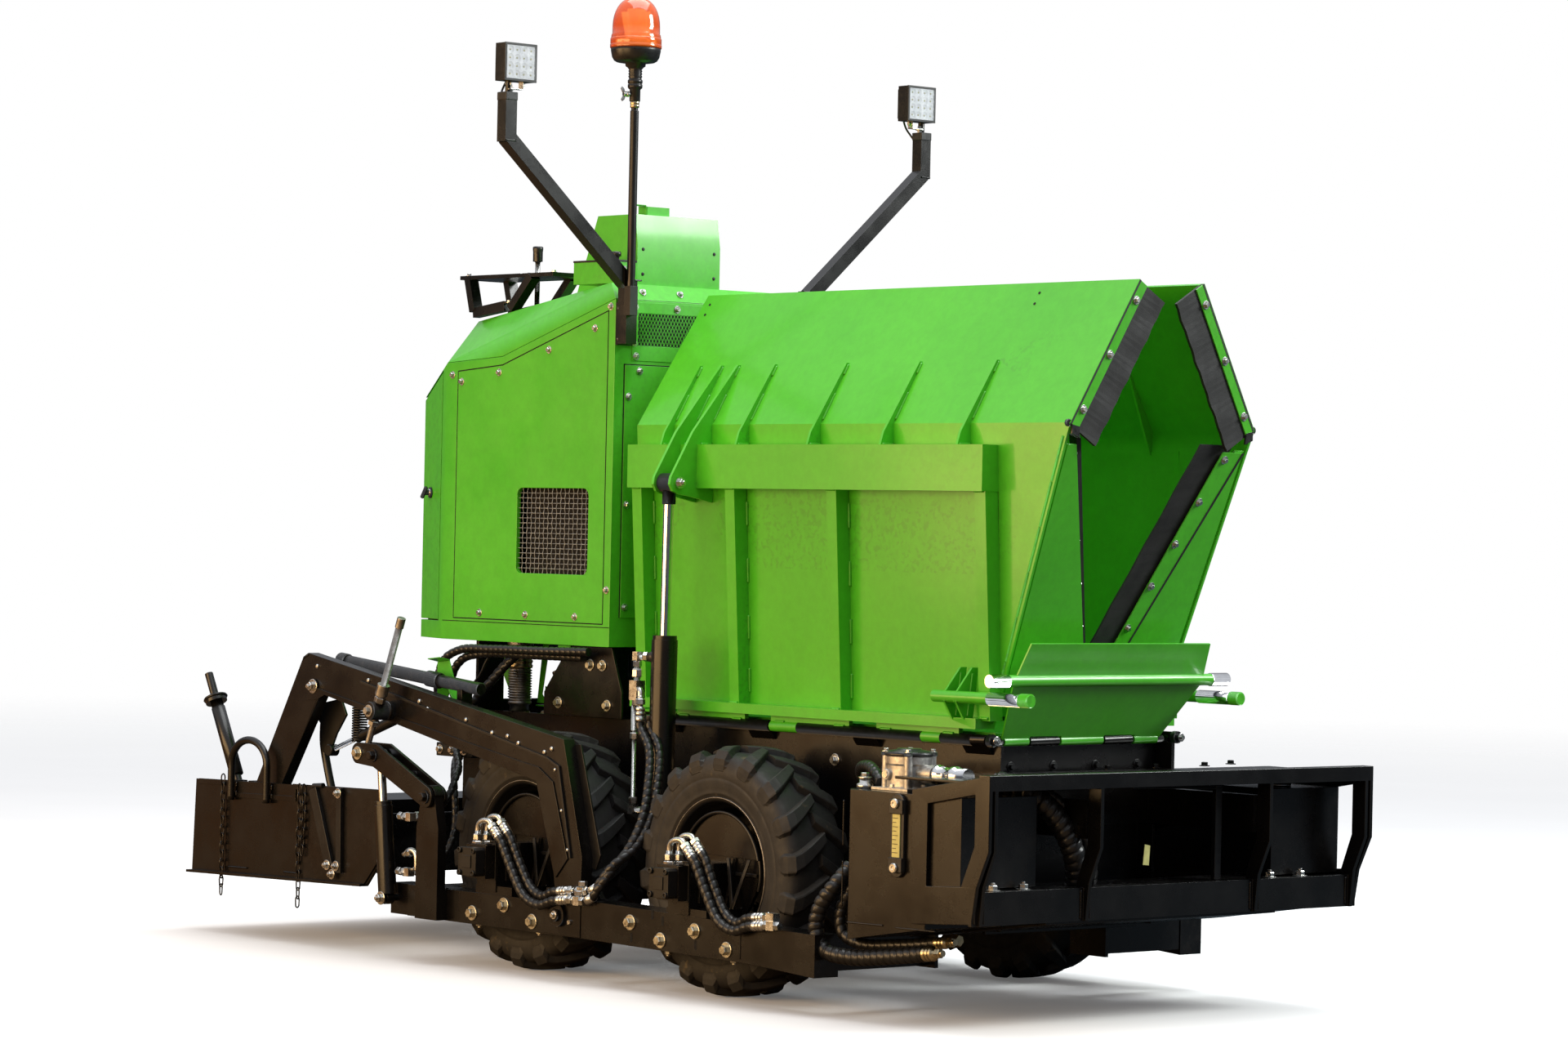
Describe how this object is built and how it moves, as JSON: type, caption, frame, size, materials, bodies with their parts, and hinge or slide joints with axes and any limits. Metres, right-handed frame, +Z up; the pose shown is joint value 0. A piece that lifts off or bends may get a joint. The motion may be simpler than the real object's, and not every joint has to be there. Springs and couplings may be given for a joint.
{
  "type": "asphalt paver",
  "caption": "Small wheeled asphalt paver with folding hopper wings, hydraulic screed on tow arms, engine cabinet, work lamps and beacon.",
  "frame": {"origin": "on the ground, at the centre of the bounding box seen from above", "axes": "+X forward in the direction of travel, +Y to the machine's left, +Z up"},
  "size_m": [3.61, 1.664, 2.824],
  "materials": {
    "black_paint": "satin black paint",
    "green_paint": "gloss bright green paint",
    "zinc": "zinc plated steel",
    "chrome": "hard chromed rod",
    "tyre": "worn black tyre rubber",
    "amber": "amber lens",
    "cast": "cast aluminium",
    "steel": "bare steel",
    "engine": "dull"
  },
  "bodies": {
    "chassis": {"chassis": "black_paint", "front_cabinet_stand": "black_paint", "rear_cabinet_stand": "black_paint", "right_front_outrigger": "black_paint", "right_middle_outrigger": "black_paint", "right_rear_outrigger": "black_paint", "left_front_outrigger": "black_paint", "left_middle_outrigger": "black_paint", "left_rear_outrigger": "black_paint", "front_bumper": "black_paint", "front_deck": "black_paint", "belly_plate": "black_paint", "front_plate": "black_paint", "right_tank": "black_paint", "left_tank": "black_paint", "return_filter": "cast", "right_side_beam": "black_paint", "left_side_beam": "black_paint", "hopper_floor": "green_paint", "cabinet_frame": "green_paint", "cabinet_roof": "green_paint", "right_side_panel": "green_paint", "left_side_panel": "green_paint", "engine": "engine", "exhaust_pipe": "steel", "control_console": "green_paint", "lever_stand": "black_paint", "right_mast": "black_paint", "left_mast": "black_paint", "beacon": "amber"},
    "screed": {"right_tow_arm": "black_paint", "left_tow_arm": "black_paint", "screed_body": "black_paint", "right_end_plate": "black_paint", "left_end_plate": "black_paint"},
    "apron": {"front_apron": "green_paint"},
    "rear_door": {"rear_door": "green_paint"},
    "right_wing": {"right_wing": "green_paint"},
    "right_corner_flap": {"right_corner_flap": "green_paint"},
    "right_wing_barrel": {"right_wing_cylinder_barrel": "black_paint"},
    "right_wing_rod": {"right_wing_cylinder_rod": "chrome"},
    "right_lift_barrel": {"right_lift_cylinder_barrel": "black_paint"},
    "right_lift_rod": {"right_lift_cylinder_rod": "chrome"},
    "right_lift_link": {"right_lift_link": "black_paint"},
    "right_lift_spindle": {"right_lift_spindle": "steel"},
    "front_right_wheel": {"front_right_wheel": "tyre"},
    "rear_right_wheel": {"rear_right_wheel": "tyre"},
    "left_wing": {"left_wing": "green_paint"},
    "left_corner_flap": {"left_corner_flap": "green_paint"},
    "left_wing_barrel": {"left_wing_cylinder_barrel": "black_paint"},
    "left_wing_rod": {"left_wing_cylinder_rod": "chrome"},
    "left_lift_barrel": {"left_lift_cylinder_barrel": "black_paint"},
    "left_lift_rod": {"left_lift_cylinder_rod": "chrome"},
    "left_lift_link": {"left_lift_link": "black_paint"},
    "left_lift_spindle": {"left_lift_spindle": "steel"},
    "front_left_wheel": {"front_left_wheel": "tyre"},
    "rear_left_wheel": {"rear_left_wheel": "tyre"}
  },
  "joints": [
    {"name": "front_right_wheel_spin", "type": "hinge", "parent": "chassis", "child": "front_right_wheel", "pos_m": [0.622, -0.5285, 0.345], "axis": [0, 1, 0], "continuous": true},
    {"name": "rear_right_wheel_spin", "type": "hinge", "parent": "chassis", "child": "rear_right_wheel", "pos_m": [-0.242, -0.5285, 0.345], "axis": [0, 1, 0], "continuous": true},
    {"name": "front_left_wheel_spin", "type": "hinge", "parent": "chassis", "child": "front_left_wheel", "pos_m": [0.622, 0.5285, 0.345], "axis": [0, 1, 0], "continuous": true},
    {"name": "rear_left_wheel_spin", "type": "hinge", "parent": "chassis", "child": "rear_left_wheel", "pos_m": [-0.242, 0.5285, 0.345], "axis": [0, 1, 0], "continuous": true},
    {"name": "right_wing_open", "type": "hinge", "parent": "chassis", "child": "right_wing", "pos_m": [0.66, -0.35, 0.738], "axis": [1, 0, 0], "range_deg": [0, 50]},
    {"name": "left_wing_open", "type": "hinge", "parent": "chassis", "child": "left_wing", "pos_m": [0.66, 0.35, 0.738], "axis": [-1, 0, 0], "range_deg": [0, 50.01]},
    {"name": "apron_lower", "type": "hinge", "parent": "chassis", "child": "apron", "pos_m": [1.392, 0, 0.734], "axis": [0, 1, 0], "range_deg": [0, 30.01]},
    {"name": "right_flap_fold", "type": "hinge", "parent": "right_wing", "child": "right_corner_flap", "pos_m": [1.38315, -0.30279, 0.8], "axis": [0.3582, -0.0458, 0.9325], "range_deg": [0, 25.01]},
    {"name": "left_flap_fold", "type": "hinge", "parent": "left_wing", "child": "left_corner_flap", "pos_m": [1.38315, 0.30279, 0.8], "axis": [-0.3582, -0.0458, -0.9325], "range_deg": [0, 25.01]},
    {"name": "right_wing_barrel_tilt", "type": "hinge", "parent": "chassis", "child": "right_wing_barrel", "pos_m": [0.195, -0.48, 0.42], "axis": [1, 0, 0], "range_deg": [0, 36]},
    {"name": "right_wing_rod_slide", "type": "slide", "parent": "right_wing_barrel", "child": "right_wing_rod", "axis": [0, 0.0101, 0.9999], "range_m": [-0.18, 0]},
    {"name": "left_wing_barrel_tilt", "type": "hinge", "parent": "chassis", "child": "left_wing_barrel", "pos_m": [0.195, 0.48, 0.42], "axis": [-1, 0, 0], "range_deg": [0, 36]},
    {"name": "left_wing_rod_slide", "type": "slide", "parent": "left_wing_barrel", "child": "left_wing_rod", "axis": [0, -0.0101, 0.9999], "range_m": [-0.18, 0]},
    {"name": "screed_lift", "type": "hinge", "parent": "chassis", "child": "screed", "pos_m": [0.072, 0, 0.189], "axis": [0, 1, 0], "range_deg": [-5.5, 8]},
    {"name": "right_link_swing", "type": "hinge", "parent": "chassis", "child": "right_lift_link", "pos_m": [-0.504, -0.76, 0.489], "axis": [0, 1, 0], "range_deg": [-15.5, 22.5]},
    {"name": "right_spindle_tilt", "type": "hinge", "parent": "screed", "child": "right_lift_spindle", "pos_m": [-0.788, -0.76, 0.727], "axis": [0, 1, 0], "range_deg": [-2.5, 3.5]},
    {"name": "right_lift_barrel_tilt", "type": "hinge", "parent": "chassis", "child": "right_lift_barrel", "pos_m": [-0.715, -0.76, 0.18], "axis": [0, 1, 0], "range_deg": [-5.5, 8]},
    {"name": "right_lift_rod_slide", "type": "slide", "parent": "right_lift_barrel", "child": "right_lift_rod", "axis": [-0.1144, 0, 0.9934], "range_m": [-0.066, 0.096]},
    {"name": "left_link_swing", "type": "hinge", "parent": "chassis", "child": "left_lift_link", "pos_m": [-0.504, 0.76, 0.489], "axis": [0, 1, 0], "range_deg": [-15.5, 22.5]},
    {"name": "left_spindle_tilt", "type": "hinge", "parent": "screed", "child": "left_lift_spindle", "pos_m": [-0.788, 0.76, 0.727], "axis": [0, 1, 0], "range_deg": [-2.5, 3.5]},
    {"name": "left_lift_barrel_tilt", "type": "hinge", "parent": "chassis", "child": "left_lift_barrel", "pos_m": [-0.715, 0.76, 0.18], "axis": [0, 1, 0], "range_deg": [-5.5, 8]},
    {"name": "left_lift_rod_slide", "type": "slide", "parent": "left_lift_barrel", "child": "left_lift_rod", "axis": [-0.1144, 0, 0.9934], "range_m": [-0.066, 0.096]},
    {"name": "rear_door_swing", "type": "hinge", "parent": "chassis", "child": "rear_door", "pos_m": [-1.0405, 0.352, 1.3], "axis": [0, 0, 1], "range_deg": [-100, 0]}
  ],
  "couplings": [
    {"joint": "left_wing_open", "follows": "right_wing_open", "ratio": 1},
    {"joint": "apron_lower", "follows": "right_wing_open", "ratio": 0.6},
    {"joint": "right_flap_fold", "follows": "right_wing_open", "ratio": 0.5},
    {"joint": "left_flap_fold", "follows": "right_wing_open", "ratio": 0.5},
    {"joint": "right_wing_barrel_tilt", "follows": "right_wing_open", "ratio": 0.7065},
    {"joint": "right_wing_rod_slide", "follows": "right_wing_open", "m_per_rad": -0.1992},
    {"joint": "left_wing_barrel_tilt", "follows": "right_wing_open", "ratio": 0.7065},
    {"joint": "left_wing_rod_slide", "follows": "right_wing_open", "m_per_rad": -0.1992},
    {"joint": "right_link_swing", "follows": "screed_lift", "ratio": 2.7565},
    {"joint": "right_spindle_tilt", "follows": "screed_lift", "ratio": 0.4135},
    {"joint": "right_lift_barrel_tilt", "follows": "screed_lift", "ratio": 0.9441},
    {"joint": "right_lift_rod_slide", "follows": "screed_lift", "m_per_rad": 0.66076},
    {"joint": "left_link_swing", "follows": "screed_lift", "ratio": 2.7565},
    {"joint": "left_spindle_tilt", "follows": "screed_lift", "ratio": 0.4135},
    {"joint": "left_lift_barrel_tilt", "follows": "screed_lift", "ratio": 0.9441},
    {"joint": "left_lift_rod_slide", "follows": "screed_lift", "m_per_rad": 0.66076}
  ]
}
